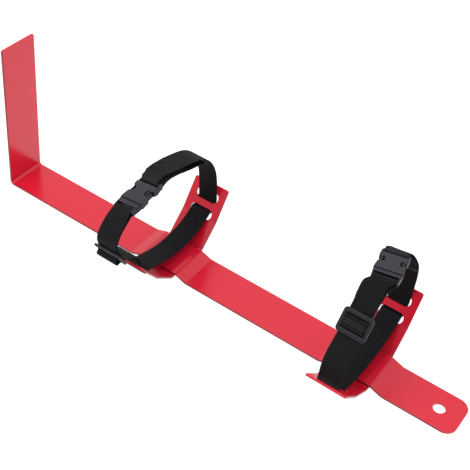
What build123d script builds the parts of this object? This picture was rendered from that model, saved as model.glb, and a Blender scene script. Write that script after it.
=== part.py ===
from build123d import *
import math
import os

# Gas cylinder bracket: a flat steel bar bent up into a foot at one end, with a screw hole at the other.
# Two strip-steel cradles are welded under raised seats in the bar, and each holds a webbing strap
# with a side-release buckle and an adjusting slider.
#
# Frame, in millimetres: the bar lies on its back. The origin is the screw hole's centre on the back
# face, +X runs along the bar from the foot to the hole, +Z points away from the wall towards the cylinder.
# "lower" and "upper" are the places in use, with the foot at the bottom.

# ---------------------------------------------------------------- steel
PLATE = 2.5                  # thickness of the bar and of both cradles
BAR_WIDTH = 50.0
BAR_LENGTH = 600.0           # outer face of the foot to the rounded end
FOOT_HEIGHT = 190.0
FOOT_BEND = 6.0              # outer radius of the 90 degree bend
FOOT_CORNER = 2.5
END_CORNER = 13.0
HOLE_DIAMETER = 13.5
HOLE_FROM_END = 26.0
EDGE_BREAK = 0.45            # rounding of the sheared edges under the paint

CRADLE_WIDTH = 46.5
CRADLE_PITCH = 253.0
UPPER_CRADLE_FROM_HOLE = 93.5
SEAT_RISE = 5.0              # height of the raised seat's underside over the back face
SEAT_MARGIN = 2.0            # flat seat past each side of the cradle strip
RAMP_LENGTH = 13.0
RAMP_BEND = 8.0

ARM_ROOT_MARGIN = {"near": 3.5, "far": 1.5}  # bar edge to the corner of an arm's inner face
ARM_ROOT_BEND = 3.0          # inner radius where an arm turns up beside the bar
ARM_KINK_BEND = 9.0
LOWER_FLANK = {"near": 34.3, "far": 36.0}  # that corner to the second bend
UPPER_FLANK = 40.5           # second bend to the tip
SECOND_BEND = 12.0           # degrees that the upper flank stands steeper
FAR_LEAN = 46.0              # degrees of a far arm's lower flank from the bar
NEAR_LEAN = {"lower": 38.0, "upper": 32.0}
TIP_CORNER = 2.5
SLOT_LENGTH = 30.0
SLOT_HEIGHT = 13.0
SLOT_UP = {"inner": 4.2, "outer": 25.0}  # slot centres along the upper flank, from the second bend

# ---------------------------------------------------------------- webbing
WEB_WIDTH = 25.0
WEB_THICK = 1.5
FIT = 0.3                    # gap between the webbing and what it passes round
LAYER_GAP = 0.15             # gap between two layers of webbing
ARC_STEP = 15.0              # degrees of turn between two sections of the webbing
SHORTEST_SPAN = 0.1          # sections closer than this are merged
TURNED_SPAN = 7.0            # longest span between sections where the strap is turned
SEAM_TAIL = 50.0             # doubled and sewn length behind the socket
TAIL_SAG = 2.2               # the tail hangs this much lower behind the socket
WOVEN_TO = 0.4               # gap between the webbing's corner and a slider's end bar

# --------------------------------------------------- buckle, x across and y towards the socket's bar
BUCKLE_WIDTH = 30.5
BUCKLE_THICK = 8.5
SOCKET_FACE = 26.0           # mouth to the upper edge of the socket's face
SHOULDER = 22.5              # mouth to the socket's widest place behind the windows
SOCKET_WALL = 1.5
MOUTH_HALF = 13.2            # half width of the mouth's inside
WINDOW_FROM = 10.0
WINDOW_TO = 19.5
WAIST_HALF = 11.4
BAR_THICK = 2.8              # thickness of each webbing bar
WEB_SLOT = 2.6
SOCKET_BAR = 3.4             # width of the socket's webbing bar
PLUG_LAND = 6.0              # bridge between the mouth and the plug's webbing slot
PLUG_BAR = 3.6
PLUG_GAP = 0.3
PLUG_THICK = 6.4
PRONG_THICK = 4.8
PRONG_TIP_HALF = 12.8        # just under the mouth's, so that the moulded prongs pass it
PRONG_SHOULDER = 10.5        # mouth to the start of a prong's broad tip
PRONG_BROAD_TO = 17.5
PRONG_REACH = 19.2
CAVITY_DEPTH = 21.0
TONGUE_THICK = 3.2
EAR_THICK = 6.0
BUCKLE_EDGE = 1.2            # rounding of the socket's long edges
RELEASE_TRAVEL = 20.0

# --------------------------------------------------- slider, x across and y along the webbing
SLIDER_WIDTH = 33.0
SLIDER_LENGTH = 26.0
SLIDER_THICK = 2.6
SLIDER_CORNER = 4.0
SLIDER_END_BAR = 5.0
SLIDER_MIDDLE_BAR = 5.0
SLIDER_SIDE = 3.7
SLIDER_EDGE = 0.7
SLIDER_BEND = 1.8            # radius of the webbing's centre line as it weaves through

# --------------------------------------------------- each strap's place, in the plane across the bar
# mouth: centre of the buckle's mouth (y, z); tilt: degrees that the buckle points below the level;
# yaw and roll: the free turn of the buckle on its slack strap; slider: centre and slope of the slider;
# hump: height of the webbing over the slider's middle bar; near_drift: sideways drift of the slack strap
# by height on the near side, and top_drift: by place across the bar on the top run; top, low, side and
# rise: points that the webbing's free runs pass near.
STRAPS = {
    "lower": {
        "mouth": (-78.4, 136.8), "tilt": 14.8, "yaw": -4.0, "roll": 16.0,
        "slider": (-112.0, 89.5), "slope": 123.5, "hump": 6.3,
        "near_drift": [(48, 0.0), (76, 2.4), (103, 2.4), (124, 2.6)],
        "top_drift": [(-45, 2.6), (-36, -1.4), (-26, -2.6), (10, -1.2), (60, 0.0)],
        "top": [(-26, 146.6), (2, 140.8), (29, 134.3), (49.5, 117.5), (61.5, 91)],
        "low": [(40, 26.5), (14, 19.5), (-16, 19.5), (-41, 27)],
        "side": [(-73, 56), (-85, 71)],
        "rise": [(-121, 113), (-110.5, 126.5)],
    },
    "upper": {
        "mouth": (-0.9, 140.6), "tilt": -4.5, "yaw": 12.0, "roll": 2.0,
        "slider": (-48.0, 105.0), "slope": 48.5, "hump": 2.4,
        "near_drift": [(48, 0.0), (76, 0.0)],
        "top_drift": [(-45, 0.0), (60, 0.0)],
        "top": [(43, 136.5), (56, 120), (67, 97), (69, 76)],
        "low": [(40, 27.5), (14, 21.5), (-16, 20), (-41, 23)],
        "side": [(-76, 56), (-73, 74)],
        "rise": [(-28, 137.5)],
    },
}
STILL_RADIUS = 28.0          # webbing this near the buckle turns with it
FREE_RADIUS = 56.0           # and past this distance it lies square to the bar

foot_x = HOLE_FROM_END - BAR_LENGTH
end_x = HOLE_FROM_END
cradle_x = {"upper": -UPPER_CRADLE_FROM_HOLE, "lower": -UPPER_CRADLE_FROM_HOLE - CRADLE_PITCH}
half_width = BAR_WIDTH / 2
half_web = WEB_THICK / 2


# ---------------------------------------------------------------- flat geometry
def unit(vector):
    length = math.hypot(*vector)
    return (vector[0] / length, vector[1] / length)


def heading(degrees):
    return (math.cos(math.radians(degrees)), math.sin(math.radians(degrees)))


def shifted(point, *steps):
    """The point after moving by each (direction, distance) in turn."""
    y, z = point
    for direction, distance in steps:
        y += direction[0] * distance
        z += direction[1] * distance
    return (y, z)


def turn_at(before, corner, after):
    """Signed turn at a corner in degrees, positive to the left."""
    a = unit((corner[0] - before[0], corner[1] - before[1]))
    b = unit((after[0] - corner[0], after[1] - corner[1]))
    return math.degrees(math.atan2(a[0] * b[1] - a[1] * b[0], a[0] * b[0] + a[1] * b[1]))


def between(steps, at):
    """The value at a place between steps of (place, value), held past both ends."""
    value = steps[0][1]
    for (low, before), (high, after) in zip(steps, steps[1:]):
        if at > low:
            value = before + (after - before) * min((at - low) / (high - low), 1)
    return value


def offset_polyline(points, distance):
    """An open polyline moved to its left by the distance, with mitred corners."""
    moved = []
    for i, point in enumerate(points):
        before = points[max(i - 1, 0)]
        after = points[min(i + 1, len(points) - 1)]
        pairs = [(a, b) for a, b in ((before, point), (point, after)) if a != b]
        headings = [unit((b[0] - a[0], b[1] - a[1])) for a, b in pairs]
        normals = [(-h[1], h[0]) for h in headings]
        mean = unit((sum(n[0] for n in normals), sum(n[1] for n in normals)))
        reach = distance / (mean[0] * normals[0][0] + mean[1] * normals[0][1])
        moved.append((point[0] + mean[0] * reach, point[1] + mean[1] * reach))
    return moved


def strip_profile(points, inner_radii, thickness):
    """Edges of a bent strip. Its other side lies to the left of the points, or to the right if the
    thickness is negative. Each radius is on the inside of its bend."""
    sides = []
    for distance in (0.0, thickness):
        radii = []
        for i, inner in enumerate(inner_radii):
            turns_left = turn_at(*points[i:i + 3]) > 0
            on_left = (distance > 0) if distance else (thickness < 0)
            radii.append(inner if on_left == turns_left else inner + abs(thickness))
        sides.append((offset_polyline(points, distance) if distance else points, radii))
    (first, first_radii), (second, second_radii) = sides
    return [
        FilletPolyline(*first, radius=first_radii),
        Line(first[-1], second[-1]),
        FilletPolyline(*second, radius=second_radii),
        Line(second[0], first[0]),
    ]


def round_corners(points, radii):
    """Sections of a smooth line as (point, heading): straight runs joined by arcs of the given radii."""
    sections = [(points[0], unit((points[1][0] - points[0][0], points[1][1] - points[0][1])))]
    for before, corner, after, radius in zip(points, points[1:], points[2:], radii):
        turn = turn_at(before, corner, after)
        into = unit((corner[0] - before[0], corner[1] - before[1]))
        steps = max(2, math.ceil(abs(turn) / ARC_STEP))
        setback = radius * math.tan(math.radians(abs(turn)) / 2)
        start = shifted(corner, (into, -setback))
        side = (-into[1], into[0]) if turn > 0 else (into[1], -into[0])
        centre = shifted(start, (side, radius))
        first = math.degrees(math.atan2(start[1] - centre[1], start[0] - centre[0]))
        for i in range(steps + 1):
            swept = turn * i / steps
            out = heading(first + swept)
            along = (-out[1], out[0]) if turn > 0 else (out[1], -out[0])
            sections.append((shifted(centre, (out, radius)), along))
    sections.append((points[-1], unit((points[-1][0] - points[-2][0], points[-1][1] - points[-2][1]))))
    return sections


# ---------------------------------------------------------------- bar and foot
def back_bar():
    seat = CRADLE_WIDTH / 2 + SEAT_MARGIN
    back = [(foot_x, FOOT_HEIGHT), (foot_x, 0)]
    for name in ("lower", "upper"):
        x = cradle_x[name]
        back += [(x - seat - RAMP_LENGTH, 0), (x - seat, SEAT_RISE),
                 (x + seat, SEAT_RISE), (x + seat + RAMP_LENGTH, 0)]
    back.append((end_x, 0))
    radii = [FOOT_BEND - PLATE] + [RAMP_BEND] * 8
    with BuildPart() as part:
        with BuildSketch(Plane.XZ.offset(-half_width)):
            with BuildLine():
                add(strip_profile(back, radii, PLATE))
            make_face()
        extrude(amount=BAR_WIDTH)
        end_corners = part.edges().filter_by(Axis.Z).sort_by(Axis.X)[-2:]
        fillet(end_corners, END_CORNER)
        top_corners = part.edges().filter_by(Axis.X).group_by(Axis.Z)[-1]
        fillet(top_corners, FOOT_CORNER)
        Cylinder(HOLE_DIAMETER / 2, 4 * PLATE, mode=Mode.SUBTRACT)
        fillet(part.faces().filter_by(Axis.Y).edges(), EDGE_BREAK)
    return part.part


# ---------------------------------------------------------------- cradles
def lean(name, side):
    return FAR_LEAN if side > 0 else NEAR_LEAN[name]


def arm_lines(name, side):
    """Root, second bend and tip of an arm's inner face as (y, z), and the upper flank's direction."""
    which = "far" if side > 0 else "near"
    low = heading(lean(name, side))
    high = heading(lean(name, side) + SECOND_BEND)
    root = (side * (half_width + ARM_ROOT_MARGIN[which]), SEAT_RISE)
    kink = shifted(root, ((side * low[0], low[1]), LOWER_FLANK[which]))
    upward = (side * high[0], high[1])
    return root, kink, shifted(kink, (upward, UPPER_FLANK)), upward


def on_arm(name, side, up, out):
    """A point by its distance up the upper flank from the second bend, and outwards from the inner face."""
    _, kink, _, upward = arm_lines(name, side)
    outward = (side * upward[1], -side * upward[0])
    return shifted(kink, (upward, up), (outward, out))


def cradle(name):
    near_root, near_kink, near_tip, _ = arm_lines(name, -1)
    far_root, far_kink, far_tip, _ = arm_lines(name, 1)
    inner = [near_tip, near_kink, near_root, far_root, far_kink, far_tip]
    radii = [ARM_KINK_BEND, ARM_ROOT_BEND, ARM_ROOT_BEND, ARM_KINK_BEND]
    x = cradle_x[name]
    with BuildPart() as part:
        with BuildSketch(Plane.YZ.offset(x - CRADLE_WIDTH / 2)):
            with BuildLine():
                add(strip_profile(inner, radii, -PLATE))
            make_face()
        extrude(amount=CRADLE_WIDTH)
        for side in (-1, 1):
            _, _, tip, upward = arm_lines(name, side)
            across_plate = Vector(0, side * upward[1], -side * upward[0])
            through = part.edges().filter_by(lambda e: abs(e.tangent_at(0.5).dot(across_plate)) > 1 - 1e-6)
            fillet(through.sort_by_distance((x, *tip))[:2], TIP_CORNER)
            for up in SLOT_UP.values():
                middle = (x, *on_arm(name, side, up, PLATE / 2))
                with BuildSketch(Plane(origin=middle, x_dir=(1, 0, 0), z_dir=across_plate)):
                    SlotOverall(SLOT_LENGTH, SLOT_HEIGHT)
                extrude(amount=2 * PLATE, both=True, mode=Mode.SUBTRACT)
        fillet(part.faces().filter_by(Axis.X).edges(), EDGE_BREAK)
    return part.part


# ---------------------------------------------------------------- places of the buckle and the slider
def at_mouth(name, toward_bar, out):
    """A point by its distance from the buckle's mouth towards the socket's bar, and outwards."""
    strap = STRAPS[name]
    rise = heading(strap["tilt"])
    return shifted(strap["mouth"], (rise, toward_bar), ((-rise[1], rise[0]), out))


def at_slider(name, up, out):
    """A point by its distance from the slider's centre up the webbing, and outwards."""
    strap = STRAPS[name]
    along = heading(strap["slope"])
    return shifted(strap["slider"], (along, up), ((-along[1], along[0]), out))


def strap_place(name, point):
    """A point of the strap's plane as (x, y, z), with the sideways drift of the slack strap."""
    y, z = point
    near, top = STRAPS[name]["near_drift"], STRAPS[name]["top_drift"]
    if y < top[0][0]:
        sideways = between(near, z)
    else:
        sideways = between(top, y) * between([(60, 0.0), (100, 1.0)], z)
    return Vector(cradle_x[name] + sideways, y, z)


def buckle_centre(name):
    return strap_place(name, at_mouth(name, SOCKET_FACE / 2, 0))


def free_turn(name, point):
    """A function that turns vectors as the slack strap is turned at a point near its buckle."""
    strap = STRAPS[name]
    along = Vector(0, *heading(strap["tilt"]))
    outward = Vector(1, 0, 0).cross(along)
    centre = buckle_centre(name)
    distance = (point - centre).length
    share = 1.0
    if distance > STILL_RADIUS:
        fade = max((FREE_RADIUS - distance) / (FREE_RADIUS - STILL_RADIUS), 0)
        share = fade * STILL_RADIUS / distance
    yaw = Axis(centre, outward)
    roll = Axis(centre, -along)

    def turn(vector, axis_only=False):
        origin = Vector(0, 0, 0) if axis_only else centre
        moved = vector - origin
        moved = moved.rotate(Axis((0, 0, 0), roll.direction), strap["roll"] * share)
        moved = moved.rotate(Axis((0, 0, 0), yaw.direction), strap["yaw"] * share)
        return moved + origin

    return turn


def buckle_plane(name):
    mouth = strap_place(name, at_mouth(name, 0, 0))
    turn = free_turn(name, buckle_centre(name))
    across = turn(Vector(1, 0, 0), axis_only=True)
    along = turn(Vector(0, *heading(STRAPS[name]["tilt"])), axis_only=True)
    return Plane(origin=turn(mouth), x_dir=across, z_dir=across.cross(along))


def slider_plane(name):
    along = Vector(0, *heading(STRAPS[name]["slope"]))
    centre = strap_place(name, STRAPS[name]["slider"])
    return Plane(origin=centre, x_dir=(1, 0, 0), z_dir=Vector(1, 0, 0).cross(along))


# ---------------------------------------------------------------- webbing
def free_radius(before, corner, after, share=0.45):
    """The largest arc that the two runs leave room for."""
    shorter = min(math.dist(before, corner), math.dist(corner, after))
    return share * shorter / math.tan(math.radians(abs(turn_at(before, corner, after))) / 2)


def cut_to_length(points, length):
    kept = [points[0]]
    for start, end in zip(points, points[1:]):
        run = math.dist(start, end)
        if run >= length:
            return kept + [shifted(start, (unit((end[0] - start[0], end[1] - start[1])), length))]
        kept.append(end)
        length -= run
    return kept


def strap_line(name):
    """Corners and radii of the webbing's centre line, from its sewn tail to its end in the slider."""
    strap = STRAPS[name]
    layer = WEB_THICK + LAYER_GAP
    over_bar = BAR_THICK / 2 + FIT + half_web
    behind_arm = PLATE + FIT + half_web
    under_slider = SLIDER_THICK / 2 + FIT + half_web + 0.05
    bar_turn = over_bar - 0.02

    socket_slot = SOCKET_FACE + WEB_SLOT / 2
    past_bar = SOCKET_FACE + WEB_SLOT + SOCKET_BAR + 3
    top = [at_mouth(name, past_bar, over_bar)] + strap["top"]
    tail = [at_mouth(name, past_bar, -over_bar)] + offset_polyline(strap["top"], -layer)
    tail[1] = shifted(tail[1], (heading(strap["tilt"] - 90), TAIL_SAG))
    line = [(p, None) for p in reversed(cut_to_length(tail, SEAM_TAIL))]
    line += [(at_mouth(name, socket_slot, level * over_bar), bar_turn) for level in (-1, 1)]
    line += [(p, None) for p in top]

    bridge_top = SLOT_UP["outer"] - SLOT_HEIGHT / 2
    bridge_foot = SLOT_UP["inner"] + SLOT_HEIGHT / 2
    way_in, way_out = [[
        (on_arm(name, side, bridge_top + 3.8, behind_arm), 2.6),
        (on_arm(name, side, bridge_foot - 2.2, behind_arm), 1.7),
        (on_arm(name, side, bridge_foot - 3.4, -1.4), 2.4),
    ] for side in (1, -1)]
    line += way_in + [(p, None) for p in strap["low"]] + way_out[::-1]

    end_bar = SLIDER_LENGTH / 2 - SLIDER_END_BAR
    line += [(p, None) for p in strap["side"]]
    line += [(at_slider(name, -SLIDER_LENGTH / 2 - 2, -under_slider), None)]
    inside = WOVEN_TO - end_bar
    over_middle = SLIDER_MIDDLE_BAR / 2 + 0.5
    weave = [(inside, -under_slider), (-over_middle, strap["hump"]),
             (over_middle, strap["hump"]), (-inside, -under_slider)]
    line += [(at_slider(name, up, out), SLIDER_BEND) for up, out in weave]

    plug_slot = -PLUG_GAP - PLUG_LAND - WEB_SLOT / 2
    past_plug = -PLUG_GAP - PLUG_LAND - WEB_SLOT - PLUG_BAR - 4
    rise = [at_slider(name, SLIDER_LENGTH / 2 + 3, -under_slider)] + strap["rise"]
    line += [(p, None) for p in rise + [at_mouth(name, past_plug, over_bar)]]
    line += [(at_mouth(name, plug_slot, level * over_bar), bar_turn) for level in (1, -1)]
    line += [(p, None) for p in [at_mouth(name, past_plug, -over_bar)] + offset_polyline(rise, -layer)[::-1]]
    line += [(at_slider(name, 0, -under_slider - layer), None)]
    points = [p for p, _ in line]
    radii = []
    for i in range(1, len(line) - 1):
        given = line[i][1]
        radii.append(given if given else free_radius(*points[i - 1:i + 2]))
    return points, radii


def merged(sections):
    """The sections without those that lie almost on the one before."""
    kept = [sections[0]]
    for section in sections[1:]:
        if math.dist(kept[-1][0], section[0]) >= SHORTEST_SPAN:
            kept.append(section)
    return kept


def webbing(name):
    points, radii = strap_line(name)
    line = merged(round_corners(points, radii))
    middle = buckle_centre(name)
    places = [line[0]]
    for before, after in zip(line, line[1:]):
        reach = min((strap_place(name, end[0]) - middle).length for end in (before, after))
        run = (after[0][0] - before[0][0], after[0][1] - before[0][1])
        steps = math.ceil(math.hypot(*run) / TURNED_SPAN) if reach < FREE_RADIUS else 1
        places += [(shifted(before[0], (run, i / steps)), after[1]) for i in range(1, steps + 1)]
    sections = []
    for place, along in places:
        at = strap_place(name, place)
        turn = free_turn(name, at)
        across = turn(Vector(1, 0, 0), axis_only=True)
        ahead = turn(Vector(0, *along), axis_only=True)
        sections.append(Plane(origin=turn(at), x_dir=across, z_dir=ahead) * Rectangle(WEB_WIDTH, WEB_THICK))
    length = sum(math.dist(before[0], after[0]) for before, after in zip(line, line[1:]))
    print(f"{name} webbing: {length:.1f} mm long")
    return loft(sections, ruled=True)


# ---------------------------------------------------------------- buckle and slider
def mirrored(right):
    """A closed outline from its right half, listed from -y to +y."""
    return right + [(-x, y) for x, y in reversed(right)]


def slab(outline, thickness):
    return extrude(make_face(Polyline(*outline, close=True)), amount=thickness / 2, both=True)


def upright_edges(part, corners):
    """The edges along z that stand at the given corners (x, y), on both sides."""
    near = []
    for edge in part.edges().filter_by(Axis.Z):
        at = edge.center()
        if any(math.dist((abs(at.X), at.Y), corner) < 0.05 for corner in corners):
            near.append(edge)
    return near


def flat_rims(part):
    """Edges of the top and bottom faces."""
    level = part.edges().filter_by(lambda e: abs(e.bounding_box().size.Z) < 1e-6)
    by_height = level.group_by(Axis.Z)
    return by_height[0] + by_height[-1]


def buckle_socket(name):
    half = BUCKLE_WIDTH / 2
    slot_half = WEB_WIDTH / 2 + 0.4
    bar_from = SOCKET_FACE + WEB_SLOT
    bar_to = bar_from + SOCKET_BAR
    flank = [(half, 0), (half - 0.4, WINDOW_FROM / 2), (half - 1, WINDOW_FROM), (half - 1, WINDOW_TO),
             (half, SHOULDER), (half - 0.6, SOCKET_FACE)]
    body = slab(mirrored(flank), BUCKLE_THICK)
    body = fillet(upright_edges(body, [(half, SHOULDER)]), 3)
    body = fillet(flat_rims(body), BUCKLE_EDGE)
    ear_corner = (half - 0.3, bar_to - 1)
    ear = slab([(slot_half, SHOULDER), (half, SHOULDER), ear_corner, (slot_half, bar_to + 1)], EAR_THICK)
    ear = fillet(upright_edges(ear, [ear_corner]), 1.6)
    ear = fillet(flat_rims(ear), 0.8)
    bar = Pos(0, (bar_from + bar_to) / 2, 0) * Box(2 * slot_half + 2, SOCKET_BAR, BAR_THICK)
    bar = fillet(bar.edges().filter_by(Axis.X), 1.1)
    socket = body + ear + mirror(ear, Plane.YZ) + bar
    inside = BUCKLE_THICK - 2 * SOCKET_WALL
    socket -= Pos(0, (CAVITY_DEPTH - 1) / 2, 0) * Box(2 * MOUTH_HALF, CAVITY_DEPTH + 1, inside)
    window_middle = (WINDOW_FROM + WINDOW_TO) / 2
    window = Pos(0, window_middle, 0) * Box(10, WINDOW_TO - WINDOW_FROM, 2 * BUCKLE_THICK)
    window = fillet(window.edges().filter_by(Axis.Z), 2.5)
    for side in (-1, 1):
        socket -= Pos(side * (WAIST_HALF + 5), 0, 0) * window
    return buckle_plane(name).location * socket


def buckle_plug(name):
    land_end = -PLUG_GAP - PLUG_LAND
    bar_from = land_end - WEB_SLOT
    bar_to = bar_from - PLUG_BAR
    half = BUCKLE_WIDTH / 2
    slot_half = WEB_WIDTH / 2 + 0.3
    flank = [(half - 1.5, bar_to), (half - 1.1, bar_to + 1.5),
             (half - 0.7, land_end), (half - 0.2, -PLUG_GAP)]
    base = slab(mirrored(flank), PLUG_THICK)
    base = fillet(flat_rims(base), 0.8)
    base -= Pos(0, (land_end + bar_from) / 2, 0) * Box(2 * slot_half, WEB_SLOT, 2 * PLUG_THICK)
    base -= Pos(0, bar_to, 0) * Box(2 * slot_half, 2 * (bar_from - bar_to), 2 * PLUG_THICK)
    bar = Pos(0, (bar_from + bar_to) / 2, 0) * Box(2 * slot_half + 1, PLUG_BAR, BAR_THICK)
    bar = fillet(bar.edges().filter_by(Axis.X), 1.1)
    root = -PLUG_GAP - 1
    tip_from = (PRONG_TIP_HALF, PRONG_SHOULDER)
    tip_to = (PRONG_TIP_HALF, PRONG_BROAD_TO)
    waist = [(10.6, 5), (7.8, 5), (9.6, PRONG_SHOULDER)]
    outline = [(7.5, root), (11.5, root), waist[0], tip_from, tip_to, (11.4, PRONG_REACH),
               (10.0, PRONG_BROAD_TO), waist[2], waist[1]]
    prong = slab(outline, PRONG_THICK)
    prong = fillet(upright_edges(prong, [tip_from, tip_to]), 1.2)
    prong = fillet(upright_edges(prong, waist), 4)
    tongue = slab(mirrored([(3.0, root), (2.4, 14.5), (1.6, 16)]), TONGUE_THICK)
    plug = base + bar + prong + mirror(prong, Plane.YZ) + tongue
    return buckle_plane(name).location * plug


def strap_slider(name):
    slot = SLIDER_LENGTH / 2 - SLIDER_END_BAR - SLIDER_MIDDLE_BAR / 2
    slot_middle = (SLIDER_MIDDLE_BAR + slot) / 2
    frame = Box(SLIDER_WIDTH, SLIDER_LENGTH, SLIDER_THICK)
    frame = fillet(frame.edges().filter_by(Axis.Z), SLIDER_CORNER)
    opening = Box(SLIDER_WIDTH - 2 * SLIDER_SIDE, slot, 2 * SLIDER_THICK)
    opening = fillet(opening.edges().filter_by(Axis.Z), 0.9)
    for side in (-1, 1):
        frame -= Pos(0, side * slot_middle, 0) * opening
    frame = fillet(flat_rims(frame), SLIDER_EDGE)
    return slider_plane(name).location * frame


# ---------------------------------------------------------------- separate pieces
nodes = {"back_bar": back_bar()}
for name in ("lower", "upper"):
    nodes[name + "_cradle"] = cradle(name)
    nodes[name + "_webbing"] = webbing(name)
    nodes[name + "_buckle_socket"] = buckle_socket(name)
    nodes[name + "_buckle_plug"] = buckle_plug(name)
    nodes[name + "_strap_slider"] = strap_slider(name)

os.makedirs("parts", exist_ok=True)
for name, shape in nodes.items():
    export_step(shape, f"parts/{name}.step")
    print(f"{name}: {shape.volume:.0f} mm3, {len(shape.solids())} solid")
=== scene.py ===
import math
import bpy
import numpy as np
from mathutils import Matrix, Vector


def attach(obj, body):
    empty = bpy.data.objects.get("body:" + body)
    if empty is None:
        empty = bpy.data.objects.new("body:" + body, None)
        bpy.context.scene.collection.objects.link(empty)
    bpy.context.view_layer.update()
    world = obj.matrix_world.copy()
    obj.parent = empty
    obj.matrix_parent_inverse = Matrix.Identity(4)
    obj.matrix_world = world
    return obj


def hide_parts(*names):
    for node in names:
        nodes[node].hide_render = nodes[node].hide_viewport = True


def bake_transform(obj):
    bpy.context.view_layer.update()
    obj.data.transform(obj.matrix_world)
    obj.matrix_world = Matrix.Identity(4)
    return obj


MM = 0.001  # the frame is in metres; straps and buckles are worked out in millimetres
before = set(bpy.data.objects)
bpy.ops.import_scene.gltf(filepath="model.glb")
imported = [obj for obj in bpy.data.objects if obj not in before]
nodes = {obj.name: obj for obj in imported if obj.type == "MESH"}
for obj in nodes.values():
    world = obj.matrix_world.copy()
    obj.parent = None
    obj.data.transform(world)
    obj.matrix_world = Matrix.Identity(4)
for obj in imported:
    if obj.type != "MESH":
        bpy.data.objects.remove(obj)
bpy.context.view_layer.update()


def add(name, data):
    """A new object in the scene."""
    made = bpy.data.objects.new(name, data)
    bpy.context.scene.collection.objects.link(made)
    return made


# ---------------------------------------------------------------- camera
# Fitted to the photo: angles in degrees, place in metres, focal length and width in the photo's pixels.
AZIMUTH, ELEVATION, ROLL = -30.073, 42.711, 7.115
PLACE = (0.13376, -0.68985, 0.81986)
FOCAL, WIDTH = 1016.44, 470
SENSOR = 36

azimuth, elevation, roll = (math.radians(a) for a in (AZIMUTH, ELEVATION, ROLL))
level_share = math.cos(elevation)
toward = Vector((-level_share * math.sin(azimuth), -level_share * math.cos(azimuth), math.sin(elevation)))
level = (-toward).cross(Vector((0, 0, 1))).normalized()
upright = level.cross(-toward)
right = math.cos(roll) * level + math.sin(roll) * upright
up = -math.sin(roll) * level + math.cos(roll) * upright
camera = add("camera", bpy.data.cameras.new("camera"))
camera.data.sensor_width = SENSOR
camera.data.lens = FOCAL / WIDTH * SENSOR
camera.data.clip_end = 50
camera.matrix_world = Matrix([[right[i], up[i], toward[i], PLACE[i]] for i in range(3)] + [[0, 0, 0, 1]])
bpy.context.scene.camera = camera


# ---------------------------------------------------------------- node helpers
class Tree:
    """A short way to write shader nodes."""

    def __init__(self, tree):
        self.tree = tree
        tree.nodes.clear()

    def node(self, kind, inputs=(), **settings):
        made = self.tree.nodes.new(kind)
        for key, value in settings.items():
            setattr(made, key, value)
        for key, value in dict(inputs).items():
            self.put(made.inputs[key], value)
        return made

    def put(self, socket, value):
        if isinstance(value, bpy.types.NodeSocket):
            self.tree.links.new(value, socket)
        elif isinstance(value, bpy.types.Node):
            self.tree.links.new(value.outputs[0], socket)
        else:
            socket.default_value = value

    def math(self, operation, *values, clamp=False):
        return self.node("ShaderNodeMath", enumerate(values), operation=operation, use_clamp=clamp).outputs[0]

    def mix(self, share, a, b):
        """Colour a where the share is 0, b where it is 1."""
        made = self.node("ShaderNodeMix", data_type="RGBA")
        self.put(made.inputs[0], share)
        self.put(made.inputs[6], a)
        self.put(made.inputs[7], b)
        return made.outputs[2]

    def band(self, value, low, high):
        """0 below low, 1 above high."""
        return self.node("ShaderNodeMapRange", {0: value, 1: low, 2: high, 3: 0.0, 4: 1.0},
                         interpolation_type="SMOOTHSTEP").outputs[0]

    def noise(self, vector, scale, detail=2.0, roughness=0.5):
        return self.node("ShaderNodeTexNoise", {"Vector": vector, "Scale": scale, "Detail": detail,
                                                "Roughness": roughness}).outputs[0]

    def bump(self, height, strength, distance):
        return self.node("ShaderNodeBump", {"Height": height, "Strength": strength,
                                            "Distance": distance}).outputs[0]


def material(name):
    """A new material with its node helper and its shader."""
    made = bpy.data.materials.new(name)
    made.use_nodes = True
    tree = Tree(made.node_tree)
    shader = tree.node("ShaderNodeBsdfPrincipled")
    output = tree.node("ShaderNodeOutputMaterial")
    tree.put(output.inputs[0], shader)
    return made, tree, shader


def dress(obj, made):
    obj.data.materials.clear()
    obj.data.materials.append(made)


# ---------------------------------------------------------------- red paint
BAR_WIDTH, CRADLE_WIDTH = 0.050, 0.0465
CRADLES = (("lower", -0.3465), ("upper", -0.0935))  # places of their middles along the bar
PAINT_DEEP, PAINT_LIGHT = (0.555, 0.005, 0.022, 1), (0.605, 0.009, 0.030, 1)
# The edge colour below is painted shade: the plates' side faces are darkened to stand in for the shade on them.
PAINT_EDGE_SHADE = (0.22, 0.004, 0.011, 1)
EDGE_START, EDGE_FULL = 0.0006, 0.0002  # distances from the sheared side between which its tone sets in


def red_paint(name, axis, half, middle=0.0):
    """Glossy powder coat. The sheared edges, at half a width from the middle along an axis, are painted darker as
    the shade on the side faces.
    """
    made, tree, shader = material(name)
    at = tree.node("ShaderNodeTexCoord").outputs["Object"]
    split = tree.node("ShaderNodeSeparateXYZ", {0: at})
    off = tree.math("ABSOLUTE", tree.math("SUBTRACT", split.outputs[axis], middle))
    # mask of the painted shade along the side faces
    edge = tree.band(off, half - EDGE_START, half - EDGE_FULL)
    cloud = tree.noise(at, 14.0, 3.0)
    tone = tree.mix(cloud, PAINT_DEEP, PAINT_LIGHT)
    tree.put(shader.inputs["Base Color"], tree.mix(edge, tone, PAINT_EDGE_SHADE))
    speck = tree.noise(at, 1500.0, 2.0)
    tree.put(shader.inputs["Roughness"], tree.node("ShaderNodeMapRange", {0: speck, 3: 0.16, 4: 0.26}).outputs[0])
    peel = tree.noise(at, 260.0, 2.0)
    tree.put(shader.inputs["Normal"], tree.bump(peel, 0.10, 0.0006))
    shader.inputs["IOR"].default_value = 1.5
    return made


dress(nodes["back_bar"], red_paint("red_paint_bar", 1, BAR_WIDTH / 2))
for name, middle in CRADLES:
    dress(nodes[name + "_cradle"], red_paint("red_paint_" + name, 0, CRADLE_WIDTH / 2, middle))


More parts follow.
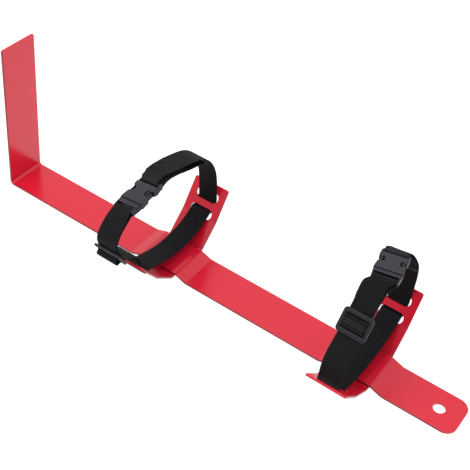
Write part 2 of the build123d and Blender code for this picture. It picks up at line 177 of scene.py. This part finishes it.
# ---------------------------------------------------------------- webbing
STEP = 0.44  # distance between the rings of a strap's mesh, mm
WEB_WIDTH = 25.0             # the stock width, in which the straps' coordinates across and along are counted
WEB_HALF, WEB_THIN = 12.6, 0.75  # half the width and half the thickness of the modelled webbing
RIB = 2.2                    # pitch of the cross ribs, mm
YARN, SLANT = 2.0, 0.55      # pitch of the yarns over the ribs, mm, and how far they lead a rib, radians
FILAMENT = 0.55              # pitch of the fine lines on a yarn, mm
THREAD, SEALED = -1.0, -2.0  # values of the across coordinate that mark stitches and heat-sealed ends
# The weave's two tones are painted light and shade: nearly black in the valleys between ribs, lighter on the crests.
WEAVE_VALLEY_SHADE, WEAVE_CREST_LIGHT = (0.0004, 0.0004, 0.0007, 1), (0.0210, 0.0200, 0.0240, 1)
WEAVE_CLOUD = (0.0042, 0.0042, 0.0052, 1)
THREAD_TONE, SEALED_TONE = (0.046, 0.046, 0.053, 1), (0.24, 0.24, 0.245, 1)


def webbing_material():
    """Polyester webbing: cross ribs with yarns lying over them, stitches and heat-sealed ends. The valleys between
    the ribs are painted dark as shade, the crests lighter where light falls.
    """
    made, tree, shader = material("black_webbing")
    uv = tree.node("ShaderNodeUVMap", uv_map="strap").outputs[0]
    split = tree.node("ShaderNodeSeparateXYZ", {0: uv})
    across, along = split.outputs[0], split.outputs[1]
    yarn = tree.math("SINE", tree.math("MULTIPLY", across, 2 * math.pi * WEB_WIDTH / YARN))
    slant = tree.math("MULTIPLY", yarn, SLANT)
    rib = tree.math("COSINE", tree.math("ADD", tree.math("MULTIPLY", along, 2 * math.pi * WEB_WIDTH / RIB), slant))
    crest = tree.math("POWER", tree.math("MULTIPLY_ADD", rib, 0.5, 0.5), 1.5)
    line = tree.math("SINE", tree.math("MULTIPLY", across, math.pi * WEB_WIDTH / FILAMENT))
    fine = tree.math("ABSOLUTE", line)
    cell = tree.math("MULTIPLY", crest, tree.math("MULTIPLY_ADD", fine, 0.3, 0.7))
    at = tree.node("ShaderNodeTexCoord").outputs["Object"]
    fuzz = tree.noise(at, 1400.0, 4.0, 0.7)
    height = tree.math("ADD", cell, tree.math("MULTIPLY", fuzz, 0.35))
    tree.put(shader.inputs["Normal"], tree.bump(height, 0.9, 0.0004))
    cloud = tree.noise(at, 45.0, 3.0)
    # painted shade in the rib valleys and painted light on the crests
    weave = tree.mix(cell, WEAVE_VALLEY_SHADE, WEAVE_CREST_LIGHT)
    weave = tree.mix(tree.math("MULTIPLY", cloud, 0.35), weave, WEAVE_CLOUD)
    is_thread = tree.math("LESS_THAN", across, THREAD / 2)
    is_sealed = tree.math("LESS_THAN", across, (THREAD + SEALED) / 2)
    tone = tree.mix(is_thread, weave, THREAD_TONE)
    tree.put(shader.inputs["Base Color"], tree.mix(is_sealed, tone, SEALED_TONE))
    shader.inputs["Roughness"].default_value = 0.62
    shader.inputs["Specular IOR Level"].default_value = 0.09
    return made


black_webbing = webbing_material()

# ---------------------------------------------------------------- routes of the straps
PLATE, FIT = 2.5, 0.3        # thickness of the cradles, and play between steel and webbing
LAYER = 1.65                 # from the middle of one layer of webbing to the next
OVER, UNDER = 2.45, 2.4      # from the middle of a buckle's bar, and of the slider, to the middle of the webbing
LOOP = OVER - 0.02           # radius of the webbing round a buckle's bar
TURN = 28                    # the webbing turns fully with its buckle up to this distance, and not beyond its double
SEAT, FLARE = 5.0, 12        # height of the arms' roots, and degrees that their tips lean out further
FAR_LEAN, FAR_ARM, NEAR_ARM = 46.0, (26.5, 36), (28.5, 34.3)  # the arms' (root, flank up to the kink)
OUTER_SLOT, BETWEEN_SLOTS, INNER_SLOT = 22.3, 15.4, 8.5       # places along an arm's tip
INNER_EXIT = (7.3, -1.4)     # where the strap leaves the inner slot, on the cylinder's side: along, out of the back
SLOT_RADII = (2.6, 1.7, 2.4)  # of the strap round the outer slot, into the inner slot and out of it
BUCKLE_MIDDLE = 13           # places along a buckle, from its socket's mouth
SOCKET_BAR, SOCKET_EXIT, SOCKET_FREE = 27.3, 35, 29
PLUG_BAR, PLUG_EXIT, PLUG_FREE = -7.6, -16.5, -13
SLIDER_EXIT = -15            # places along a slider, from its middle, and of the short webbing that rides on it
RIDER_END, RIDER_WINDOW, RIDER_LOW, RIDER_RADIUS = 11.5, 7.3, -2.25, 1.1

# The two straps, in millimetres and degrees; points are (y, z) in the plane across the bar.
#   x: place along the bar; near_lean: lean of the near arm
#   hump, crown: height and half length of the webbing over the slider's middle bar
#   straight: how far beyond the slider's middle the webbing runs straight
#   near_drift, top_drift: sideways drift at heights z on the near side, and at places y over the top
#   sag, tail, lift: sag of the sewn tail at its first corners, its length, and the lift of the layer over it
#   aside: sideways shift at distances beyond the socket
#   climb: the same from slider to plug, as (0: from the slider or 1: from the plug, distance, shift)
#   mouth, tilt, yaw, roll: the socket's mouth, lean of the buckle's axis, and its free turns
#   slider, slope: the slider's middle, and lean of its axis
#   top, low, side, rise: corners of the runs over the top, under the cylinder, from the near slot to the
#   slider, and from the slider to the plug
STRAPS = {
    "lower": {
        "x": -346.5, "near_lean": 38.0, "hump": 6.3, "crown": 3.0, "straight": 16.0,
        "near_drift": [(48, 0.0), (76, 2.4), (103, 2.4), (124, 2.6)],
        "top_drift": [(-45, 2.6), (-36, -1.4), (-26, -2.6), (10, -1.2), (60, 0.0)],
        "sag": [3.4, 7.6, 6.6], "tail": 84.0, "lift": 1.2,
        "aside": [(0.5, 0.0), (5, -4.4), (12, -4.4), (25, -1.8), (40, 0.0), (60, 0.0)],
        "climb": [(0, 0, 0.0)],
        "mouth": (-78.4, 136.8), "tilt": 14.8, "yaw": -4.0, "roll": 16.0, "slider": (-112.0, 89.5), "slope": 123.5,
        "top": [(-26, 146.6), (2, 140.8), (29, 134.3), (49.5, 117.5), (61.5, 91)],
        "low": [(40, 26.5), (14, 19.5), (-16, 19.5), (-41, 27)],
        "side": [(-74, 60), (-86, 76)], "rise": [(-121, 113), (-110.5, 126.5)],
    },
    "upper": {
        "x": -93.5, "near_lean": 32.0, "hump": 1.9, "crown": 6.1, "straight": 23.0,
        "near_drift": [(29, 0.0), (38, -1.6), (70, -1.6), (93, -0.35), (117, -0.35)],
        "top_drift": [(-38, -0.35), (-31, -2.0), (-20, -2.6), (-14.5, 0.0), (60, 0.0)],
        "sag": [2.2], "tail": 50.0, "lift": 0.0,
        "aside": [(0, 0.0)],
        "climb": [(0, 0, 0.0), (0, 8, -1.2), (1, -12, -2.2), (1, -6, -1.8), (1, 0.5, -0.4), (1, 4, 0.0)],
        "mouth": (-0.9, 140.6), "tilt": -4.5, "yaw": 12.0, "roll": 2.0, "slider": (-48.0, 105.0), "slope": 48.5,
        "top": [(43, 136.5), (56, 120), (67, 97), (69, 76)],
        "low": [(40, 27.5), (14, 21.5), (-16, 20), (-41, 23)],
        "side": [(-76, 56), (-73, 74)], "rise": [(-25.5, 137.0)],
    },
}


def heading(degrees):
    """The direction (y, z) at an angle above +Y."""
    return np.array([math.cos(math.radians(degrees)), math.sin(math.radians(degrees))])


class Strap:
    """Places along one strap, in the plane across the bar, in millimetres."""

    def __init__(self, name):
        self.__dict__.update(STRAPS[name])

    def arm(self, side, along, out):
        """A place on an arm's tip, from its kink; side is 1 for the far arm and -1 for the near arm."""
        lean = FAR_LEAN if side > 0 else self.near_lean
        mirror = np.array([side, 1])
        low, high = heading(lean), heading(lean + FLARE)
        root, flank = FAR_ARM if side > 0 else NEAR_ARM
        kink = np.array([root, SEAT]) + flank * low
        return (kink + along * high + out * np.array([high[1], -high[0]])) * mirror

    def at_mouth(self, along, out):
        """A place on the buckle, from its socket's mouth."""
        h = heading(self.tilt)
        return np.array(self.mouth) + along * h + out * np.array([-h[1], h[0]])

    def at_slider(self, along, out):
        """A place on the slider, from its middle."""
        h = heading(self.slope)
        return np.array(self.slider) + along * h + out * np.array([-h[1], h[0]])

    def sideways(self, point):
        """The drift of the slack strap along the bar at a point (y, z)."""
        y, z = point
        if y < self.top_drift[0][0]:
            return float(np.interp(z, *zip(*self.near_drift)))
        return float(np.interp(y, *zip(*self.top_drift)) * np.interp(z, (60, 100), (0, 1)))

    def warp(self, points, vectors=()):
        """The drift of the slack strap, and its free turn about its buckle, which fades out with distance."""
        centre = self.at_mouth(BUCKLE_MIDDLE, 0)
        centre = Vector((self.sideways(centre), *centre))
        along = Vector((0, *heading(self.tilt)))
        outward = Vector((1, 0, 0)).cross(along)
        moved, turned = [], [[] for _ in vectors]
        for i, point in enumerate(points):
            p = Vector((point[0] + self.sideways(point[1:]), point[1], point[2]))
            distance = max((p - centre).length, TURN)
            share = max((2 * TURN - distance) / TURN, 0) * TURN / distance
            spin = (Matrix.Rotation(math.radians(self.yaw * share), 3, outward)
                    @ Matrix.Rotation(math.radians(self.roll * share), 3, -along))
            moved.append(spin @ (p - centre) + centre)
            for j, vector in enumerate(vectors):
                turned[j].append(spin @ Vector(vector[i]))
        return np.array(moved), [np.array(t) for t in turned]

    def corners(self):
        """The three lengths of webbing as lists of (corner, radius, or None where the strap runs free): from the
        sewn tail to the near slot, from there round the plug's bar to the free end, and over the slider."""
        behind = PLATE + FIT + WEB_THIN
        tail = [self.at_mouth(SOCKET_EXIT, -OVER)] + offset([np.array(p) for p in self.top], -LAYER)
        for i, drop in enumerate(self.sag):
            tail[i + 1] = tail[i + 1] + drop * heading(self.tilt - 90)
        high = OVER + self.lift
        fixed = slack(cut(tail, self.tail)[::-1])
        fixed += [(self.at_mouth(SOCKET_BAR, -OVER), LOOP), (self.at_mouth(SOCKET_BAR, high), LOOP)]
        fixed += slack([self.at_mouth(SOCKET_EXIT, high)] + self.top)
        holds = (OUTER_SLOT, behind), (INNER_SLOT, behind), INNER_EXIT
        passes = [[(self.arm(side, *hold), radius) for hold, radius in zip(holds, SLOT_RADII)]
                  for side in (1, -1)]
        middle = slack([self.arm(-1, BETWEEN_SLOTS, behind)])
        fixed += passes[0] + slack(self.low) + passes[1][:0:-1] + middle

        rise = [self.at_slider(self.straight, -UNDER)] + [np.array(p) for p in self.rise]
        loose = middle + [passes[1][0]] + slack(self.side + [self.at_slider(SLIDER_EXIT, -UNDER)])
        loose += slack(rise + [self.at_mouth(PLUG_EXIT, OVER)])
        loose += [(self.at_mouth(PLUG_BAR, OVER), LOOP), (self.at_mouth(PLUG_BAR, -OVER), LOOP)]
        loose += slack([self.at_mouth(PLUG_EXIT, -OVER)] + offset(rise, -LAYER)[::-1])
        loose += slack([self.at_slider(0, -UNDER - LAYER)])

        rider = [(-RIDER_END, RIDER_LOW), (-RIDER_WINDOW, RIDER_LOW), (-self.crown, self.hump),
                 (self.crown, self.hump), (RIDER_WINDOW, RIDER_LOW), (RIDER_END, RIDER_LOW)]
        return fixed, loose, [(self.at_slider(*place), RIDER_RADIUS) for place in rider]


def slack(points):
    """Corners without a radius of their own."""
    return [(point, None) for point in points]


def unit(v):
    return v / np.linalg.norm(v)


def offset(points, distance):
    """A line moved to its left by a distance."""
    legs = [unit(b - a) for a, b in zip(points, points[1:])]
    moved = []
    for i, p in enumerate(points):
        normals = [np.array([-leg[1], leg[0]]) for leg in legs[max(i - 1, 0):i + 1]]
        mean = unit(sum(normals))
        moved.append(p + mean * distance / mean.dot(normals[0]))
    return moved


def cut(points, length):
    """The first length of a line."""
    kept = [points[0]]
    for a, b in zip(points, points[1:]):
        run = np.linalg.norm(b - a)
        if run >= length:
            return kept + [a + (b - a) * length / run]
        kept.append(b)
        length -= run
    return kept


def turn_at(a, b, c):
    """The signed angle by which a line turns at b."""
    u, v = unit(b - a), unit(c - b)
    return math.atan2(u[0] * v[1] - u[1] * v[0], u.dot(v))


ARC_PARTS = 12               # straight parts of a rounded corner
FREE_ROUND = 0.45            # share of the shorter leg that a free corner's rounding takes
HELD, EASED = 4, 12          # near a tight corner a line is not eased up to this distance, then more over the next


def smooth_line(line, ease=8.0):
    """Evenly spaced points on a line with rounded corners. Free runs are eased as slack webbing lies."""
    points = [np.array(p, float) for p, _ in line]
    dense, tight = [points[0]], []
    for i in range(1, len(points) - 1):
        a, b, c = points[i - 1:i + 2]
        turn = turn_at(a, b, c)
        if abs(turn) < 1e-6:
            continue
        radius = line[i][1]
        if radius:
            tight.append(b)
        else:
            radius = FREE_ROUND * min(np.linalg.norm(b - a), np.linalg.norm(c - b)) / math.tan(abs(turn) / 2)
        into = unit(b - a)
        start = b - into * radius * math.tan(abs(turn) / 2)
        side = np.array([-into[1], into[0]]) * np.sign(turn)
        centre = start + side * radius
        for k in range(ARC_PARTS + 1):
            angle = turn * k / ARC_PARTS
            arm = start - centre
            dense.append(centre + np.array([arm[0] * math.cos(angle) - arm[1] * math.sin(angle),
                                            arm[0] * math.sin(angle) + arm[1] * math.cos(angle)]))
    dense.append(points[-1])
    dense = np.array(dense)
    reach = np.concatenate([[0], np.cumsum(np.linalg.norm(np.diff(dense, axis=0), axis=1))])
    count = max(4, int(round(reach[-1] / STEP)))
    even = np.linspace(0, reach[-1], count + 1)
    line = np.stack([np.interp(even, reach, dense[:, k]) for k in range(2)], 1)
    near = np.min([np.linalg.norm(line - t, axis=1) for t in tight], axis=0)
    share = np.clip((near - HELD) / EASED, 0.0, 1)[1:-1, None]
    for _ in range(int((ease / STEP) ** 2)):
        line[1:-1] += share * (0.5 * (line[:-2] + line[2:]) - line[1:-1])
    return line


def ellipsoid(centre, ahead, aside, upward, size):
    """A small thread or knot as (vertices, faces): its half sizes lie along the three directions."""
    rings, sides = 5, 6
    vertices, faces = [], []
    for i in range(rings):
        angle = math.pi * (i + 0.5) / rings
        for j in range(sides):
            turn = 2 * math.pi * j / sides
            spoke = aside * size[1] * math.cos(turn) + upward * size[2] * math.sin(turn)
            vertices.append(centre - ahead * size[0] * math.cos(angle) + math.sin(angle) * spoke)
    for i in range(rings - 1):
        for j in range(sides):
            k = (j + 1) % sides
            faces.append((i * sides + j, i * sides + k, (i + 1) * sides + k, (i + 1) * sides + j))
    faces.append(tuple(range(sides))[::-1])
    faces.append(tuple((rings - 1) * sides + j for j in range(sides)))
    return vertices, faces


COLUMNS = 27                 # points across each face of the webbing
FACE, LIP = 0.965, 0.990     # shares of the half width where the face and the edge's rounding end
RIDGE, SCALLOP = 0.10, 0.36  # height of a rib, as a share of the half thickness, and swell of the edge, mm
SEALED_LENGTH = 0.5          # of a heat-sealed end, mm
KNOT, KNOT_SINK = (1.15, 0.26, 0.20), 0.02  # half sizes of one stitch, and how deep it lies, mm


def ribbon(name, strap, line, body=None, stitches=(), sealed=(), aside=((0, 0.0),)):
    """A woven band along a line: cross ribs and scalloped edges are in its mesh. Stitches are (reach, across,
    side, degrees from the strap's direction); sealed names the cut ends, "start" or "end"; aside gives the
    sideways shift at places along the line."""
    count = len(line)
    tangents = np.gradient(line, axis=0)
    tangents /= np.linalg.norm(tangents, axis=1)[:, None]
    reach = np.arange(count) * STEP
    flat = np.column_stack([np.interp(reach, *zip(*aside)), line])
    along = np.concatenate([np.zeros((count, 1)), tangents], 1)
    across = np.tile([1.0, 0, 0], (count, 1))
    centre, (along, across) = strap.warp(flat, (along, across))
    normal = np.cross(across, along)
    columns = np.linspace(-1, 1, COLUMNS)
    profile = [(x * FACE, 1.0) for x in columns] + [(LIP, 0.60), (1.0, 0.0), (LIP, -0.60)]
    profile += [(x * FACE, -1.0) for x in columns[::-1]] + [(-LIP, -0.60), (-1.0, 0.0), (-LIP, 0.60)]
    x, z = np.array(profile).T
    slant = SLANT * np.sin(2 * math.pi * (x * 0.5 + 0.5) * WEB_WIDTH / YARN)
    wave = np.cos(2 * math.pi * reach[:, None] / RIB + slant[None, :])
    inner = (np.abs(x) < (FACE + LIP) / 2)[None, :]
    lift = WEB_THIN * z[None, :] * (1 - RIDGE + np.where(inner, RIDGE * wave, 0.0))
    edge = np.cos(2 * math.pi * reach[:, None] / RIB)
    width = WEB_HALF * x[None, :] + np.sign(x)[None, :] * np.where(inner, 0.0, SCALLOP * edge)
    points = centre[:, None, :] + across[:, None, :] * width[:, :, None] + normal[:, None, :] * lift[:, :, None]
    shades = np.stack([np.tile(x * 0.5 + 0.5, (count, 1)), np.tile(reach[:, None] / WEB_WIDTH, (1, len(x)))], 2)
    vertices = points.reshape(-1, 3)
    coordinates = shades.reshape(-1, 2)
    ring = len(profile)
    at = np.arange(ring)
    rows = (np.arange(count - 1) * ring)[:, None]
    quads = np.stack([rows + at, rows + (at + 1) % ring, rows + ring + (at + 1) % ring, rows + ring + at], 2)
    faces = quads.reshape(-1, 4).tolist()
    last = (count - 1) * ring
    faces += [tuple(range(ring))[::-1], tuple(last + j for j in range(ring))]
    marks = np.zeros(len(faces))
    burnt = max(1, int(round(SEALED_LENGTH / STEP))) * ring
    if "start" in sealed:
        marks[:burnt] = SEALED
        marks[-2] = SEALED
    if "end" in sealed:
        marks[-2 - burnt:-2] = SEALED
        marks[-1] = SEALED
    extra, extra_faces = [], []
    for far, sideways, side, degrees in stitches:
        i = min(int(round(far / STEP)), count - 1)
        turn = math.radians(degrees)
        ahead = along[i] * math.cos(turn) + across[i] * math.sin(turn)
        middle = centre[i] + across[i] * sideways + normal[i] * side * (WEB_THIN - KNOT_SINK)
        made, made_faces = ellipsoid(middle, ahead, np.cross(normal[i], ahead), normal[i], KNOT)
        base = len(vertices) + len(extra)
        extra += made
        extra_faces += [tuple(base + k for k in face) for face in made_faces]
    if extra:
        vertices = np.concatenate([vertices, np.array(extra)])
        coordinates = np.concatenate([coordinates, np.zeros((len(extra), 2))])
        faces += extra_faces
        marks = np.concatenate([marks, np.full(len(extra_faces), THREAD)])
    vertices = (vertices + np.array([strap.x, 0, 0])) * MM
    mesh = bpy.data.meshes.new(name)
    mesh.from_pydata(vertices.tolist(), [], faces)
    layer = mesh.uv_layers.new(name="strap")
    owner = np.zeros(len(mesh.loops), np.int32)
    mesh.loops.foreach_get("vertex_index", owner)
    shade = coordinates[owner]
    marked = np.repeat(marks, [len(face) for face in faces])
    shade[marked < 0, 0] = marked[marked < 0]
    layer.data.foreach_set("uv", shade.astype(np.float32).ravel())
    mesh.polygons.foreach_set("use_smooth", [True] * len(mesh.polygons))
    mesh.validate()
    mesh.update()
    made = add(name, mesh)
    made.data.materials.append(black_webbing)
    if body:
        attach(made, body)
    return made


def reach_of(line, point):
    """How far along an evenly spaced line its nearest place to a point is."""
    return int(np.argmin(np.linalg.norm(line - point, axis=1))) * STEP


def seam(first, second, side, half=9.6, pitch=2.7):
    """Stitches of a box seam with crossing diagonals between two places along a strap."""
    made = []
    for far in (first, second):
        made += [(far, x, side, 90) for x in np.arange(-half, half + 0.1, pitch)]
    for x in (-half, half):
        made += [(far, x, side, 0) for far in np.arange(first + pitch / 2, second, pitch)]
    slope = math.degrees(math.atan2(2 * half, second - first))
    steps = int(math.hypot(2 * half, second - first) / pitch)
    for sign in (-1, 1):
        for k in range(1, steps):
            share = k / steps
            made.append((first + share * (second - first), sign * half * (2 * share - 1), side, sign * slope))
    return made


def tack(middle, side, half=10.4, rows=(-1.2, 1.2), pitch=1.35):
    """Rows of short stitches across a strap."""
    return [(middle + row, x, side, 0) for row in rows for x in np.arange(-half, half + 0.1, pitch)]


# ---------------------------------------------------------------- moulded plastic
# On the buckles all sizes are in millimetres; places along one are measured from its socket's mouth.
# The grooves are bumped in and painted dark as the shade in the buckles' gaps and slots.
SOCKET_GROOVES = ((25.4, 26.3),)
PLUG_GROOVES = ((-1.5, -0.2), (-3.9, -3.3), (-6.6, -5.6))
WAIST = 14.8                                                     # the middle of the socket's waist
# The window sheets are painted shade: dark sheets laid over the socket where its windows beside the prong lie in
# shade.
WINDOW_OUTER, WINDOW_INNER = (13.4, 5.6, 50), (13.9, 3.6, 46)    # arcs: centre, radius, half its degrees
# The rim is a painted highlight along the prong's edge inside each window.
RIM_INNER = (13.9, 3.2, 40)
WINDOW_HEIGHTS, RIM_HEIGHTS = (4.1, 4.27), (4.0, 4.45)
RIDGES, RIDGE_HALF, RIDGE_HEIGHTS = ((-2.2, -1.7), (-5.3, -4.7)), 13.0, (3.0, 3.42)
PLASTIC_DEEP, PLASTIC_LIGHT = (0.017, 0.017, 0.025), (0.023, 0.023, 0.033)
GROOVE_SHADE_TONE, WINDOW_SHADE_TONE = (0.0012, 0.0012, 0.0018, 1), (0.002, 0.002, 0.003, 1)


def plastic(name, light=1.0, gloss=0.27, place=None, ahead=None, grooves=()):
    """Nylon with a fine grain. Grooves are moulded lines between two distances from a place along a direction:
    bumped in, and painted dark as the shade in them.
    """
    made, tree, shader = material(name)
    at = tree.node("ShaderNodeTexCoord").outputs["Object"]
    cloud = tree.noise(at, 60.0, 2.0)
    low, high = (tuple(v * light for v in tone) + (1,) for tone in (PLASTIC_DEEP, PLASTIC_LIGHT))
    tone = tree.mix(cloud, low, high)
    grain = tree.noise(at, 2200.0, 3.0, 0.6)
    height = tree.math("MULTIPLY", grain, 0.12)
    if place:
        away = tree.node("ShaderNodeVectorMath", {0: at, 1: place}, operation="SUBTRACT").outputs["Vector"]
        far = tree.node("ShaderNodeVectorMath", {0: away, 1: ahead}, operation="DOT_PRODUCT").outputs["Value"]
        value = tree.math("MULTIPLY", far, 1 / MM)
        for first, second in grooves:
            inside = tree.math("MULTIPLY", tree.band(value, first - 0.15, first + 0.1),
                               tree.math("SUBTRACT", 1.0, tree.band(value, second - 0.1, second + 0.15)))
            # painted shade in the groove
            tone = tree.mix(inside, tone, GROOVE_SHADE_TONE)
            height = tree.math("SUBTRACT", height, inside)
    tree.put(shader.inputs["Base Color"], tone)
    tree.put(shader.inputs["Roughness"], tree.node("ShaderNodeMapRange", {0: grain, 3: 0.34, 4: 0.46}).outputs[0])
    tree.put(shader.inputs["Normal"], tree.bump(height, 0.6, 0.0003))
    shader.inputs["Specular IOR Level"].default_value = gloss
    return made


def prism(name, strap, outline, heights, body, look):
    """A small detail on a buckle, used for moulded ridges and for sheets of painted shade and painted highlight: an
    outline in (across, along the buckle) between two heights.
    """
    count = len(outline)
    points = np.array([(x, *strap.at_mouth(along, out)) for out in heights for x, along in outline])
    placed, _ = strap.warp(points)
    placed = (placed + np.array([strap.x, 0, 0])) * MM
    faces = [tuple(range(count))[::-1], tuple(range(count, 2 * count))]
    faces += [(k, (k + 1) % count, count + (k + 1) % count, count + k) for k in range(count)]
    mesh = bpy.data.meshes.new(name)
    mesh.from_pydata(placed.tolist(), [], faces)
    mesh.update()
    made = add(name, mesh)
    made.data.materials.append(look)
    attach(made, body)


def arc(centre, radius, half, side, count=14):
    """Points of an arc beside the waist that opens outward, as (across, along)."""
    turns = np.radians(np.linspace(180 - half, 180 + half, count))
    return [(side * (centre + radius * math.cos(t)), WAIST + radius * math.sin(t)) for t in turns]


slider_plastic = plastic("grey_plastic_slider", 0.42, 0.30)
# A lighter, glossier copy of the buckles' plastic: painted highlight on the rims by the prong and on the plug's
# ridges.
highlight_plastic = plastic("grey_plastic_ridge_highlight", 2.2, 0.45)
# a matte near-black look for the sheets of painted shade in the socket's windows
window_shade_look, _, shader = material("grey_plastic_window_shade")
shader.inputs["Base Color"].default_value = WINDOW_SHADE_TONE
shader.inputs["Roughness"].default_value = 0.8
shader.inputs["Specular IOR Level"].default_value = 0.04
for name in ("lower", "upper"):
    strap = Strap(name)
    mouth = np.array([[0.0, *strap.at_mouth(0, 0)]])
    (mouth,), ((ahead,),) = strap.warp(mouth, (np.array([[0.0, *heading(strap.tilt)]]),))
    spot = [tuple((mouth + np.array([strap.x, 0, 0])) * MM), tuple(ahead)]
    for half, grooves in (("socket", SOCKET_GROOVES), ("plug", PLUG_GROOVES)):
        dress(nodes[f"{name}_buckle_{half}"], plastic(f"grey_plastic_{half}_{name}", 1.0, 0.27, *spot, grooves))
    dress(nodes[name + "_strap_slider"], slider_plastic)
    for side, tag in ((-1, "left"), (1, "right")):
        window = arc(*WINDOW_OUTER, side) + arc(*WINDOW_INNER, side)[::-1]
        rim_highlight = arc(*WINDOW_INNER, side) + arc(*RIM_INNER, side)[::-1]
        # a sheet of painted shade over the window
        prism(name + "_socket_window_" + tag, strap, window[::side], WINDOW_HEIGHTS, "bracket", window_shade_look)
        # a sheet of painted highlight along the prong's edge
        prism(name + "_socket_rim_" + tag, strap, rim_highlight[::side], RIM_HEIGHTS, "bracket", highlight_plastic)
    for k, (first, second) in enumerate(RIDGES):
        bar = [(-RIDGE_HALF, first), (RIDGE_HALF, first), (RIDGE_HALF, second), (-RIDGE_HALF, second)]
        prism(f"{name}_plug_ridge_{k}", strap, bar, RIDGE_HEIGHTS, name + "_plug", highlight_plastic)

# ---------------------------------------------------------------- straps
SEAM_START, SEAM_LENGTH = 3, 16  # the box seam at the sewn tail's cut end
TACKS, FAR_SEAM = (-9, 10), 34   # rows of stitches, and the second box seam, from the socket's bar
BAR_REACH = 5                    # from the tail's length to the reach of the socket's bar
RISING, SLIDER_FREE = 0.7, 22    # share of the adjusting webbing before its folded end; end of the slider's hold

for name in ("lower", "upper"):
    strap = Strap(name)
    fixed, loose, weave = strap.corners()

    line = smooth_line(fixed)
    bar = strap.tail + BAR_REACH
    sewn = seam(SEAM_START, SEAM_START + SEAM_LENGTH, 1)
    for far in TACKS:
        sewn += tack(bar + far, 1)
    sewn += seam(bar + FAR_SEAM, bar + FAR_SEAM + SEAM_LENGTH, 1)
    start = reach_of(line, strap.at_mouth(SOCKET_FREE, OVER + strap.lift))
    aside = [(start + far, shift) for far, shift in strap.aside]
    main = ribbon(name + "_strap_main", strap, line, "bracket", sewn, ("start",), aside)
    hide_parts(name + "_webbing")

    line = smooth_line(loose)
    rising = line[:int(RISING * len(line))]
    stops = [reach_of(rising, place)
             for place in (strap.at_slider(SLIDER_FREE, -UNDER), strap.at_mouth(PLUG_FREE, OVER))]
    aside = [(stops[stop] + far, shift) for stop, far, shift in strap.climb]
    free = ribbon(name + "_strap_adjusting", strap, line, sealed=("end",), aside=aside)
    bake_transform(free)

    line = smooth_line(weave, ease=0.0)
    middle = (len(line) - 1) * STEP / 2
    ribbon(name + "_strap_over_slider", strap, line, body=name + "_slider", stitches=tack(middle, 1))

# ---------------------------------------------------------------- floor and light
FLOOR_HALF, FLOOR_DROP = 5, 0.0004   # metres
FLOOR_TONE, FLOOR_GLOW = (0.30, 0.30, 0.30, 1), 0.93
WHITE, SHADED = (1.0, 1.0, 1.0, 1), (0.30, 0.30, 0.31, 1)
SHADED_SIDE = (0.25, -0.90, -0.10)   # the direction in which the surroundings are darker
WORLD_STRENGTH, KEY_WATTS = 1.05, 18

floor_mesh = bpy.data.meshes.new("floor")
square = [(x * FLOOR_HALF, y * FLOOR_HALF, -FLOOR_DROP) for x, y in ((-1, -1), (1, -1), (1, 1), (-1, 1))]
floor_mesh.from_pydata(square, [], [(0, 1, 2, 3)])
floor = add("floor", floor_mesh)
pale, _, shader = material("pale_floor")
shader.inputs["Base Color"].default_value = FLOOR_TONE
shader.inputs["Roughness"].default_value = 0.9
shader.inputs["Specular IOR Level"].default_value = 0.0
shader.inputs["Emission Color"].default_value = WHITE
shader.inputs["Emission Strength"].default_value = FLOOR_GLOW
floor.data.materials.append(pale)

world = bpy.data.worlds.new("studio")
bpy.context.scene.world = world
world.use_nodes = True
tree = Tree(world.node_tree)
direction = tree.node("ShaderNodeTexCoord").outputs["Generated"]
front = tree.node("ShaderNodeVectorMath", {0: direction, 1: SHADED_SIDE}, operation="DOT_PRODUCT")
tone = tree.mix(tree.band(front.outputs["Value"], 0.35, 0.85), WHITE, SHADED)
background = tree.node("ShaderNodeBackground", {"Color": tone, "Strength": WORLD_STRENGTH})
output = tree.node("ShaderNodeOutputWorld")
tree.put(output.inputs[0], background)


def lamp(name, place, target, size, power):
    """A rectangular lamp that faces its target."""
    data = bpy.data.lights.new(name, "AREA")
    data.shape = "RECTANGLE"
    data.size, data.size_y = size
    data.energy = power
    made = add(name, data)
    made.location = place
    made.rotation_euler = (Vector(target) - Vector(place)).to_track_quat("-Z", "Y").to_euler()


lamp("key", (-0.45, -0.65, 1.75), (-0.28, 0, 0.05), (1.1, 1.1), KEY_WATTS)
bpy.context.scene.view_settings.view_transform = "Standard"
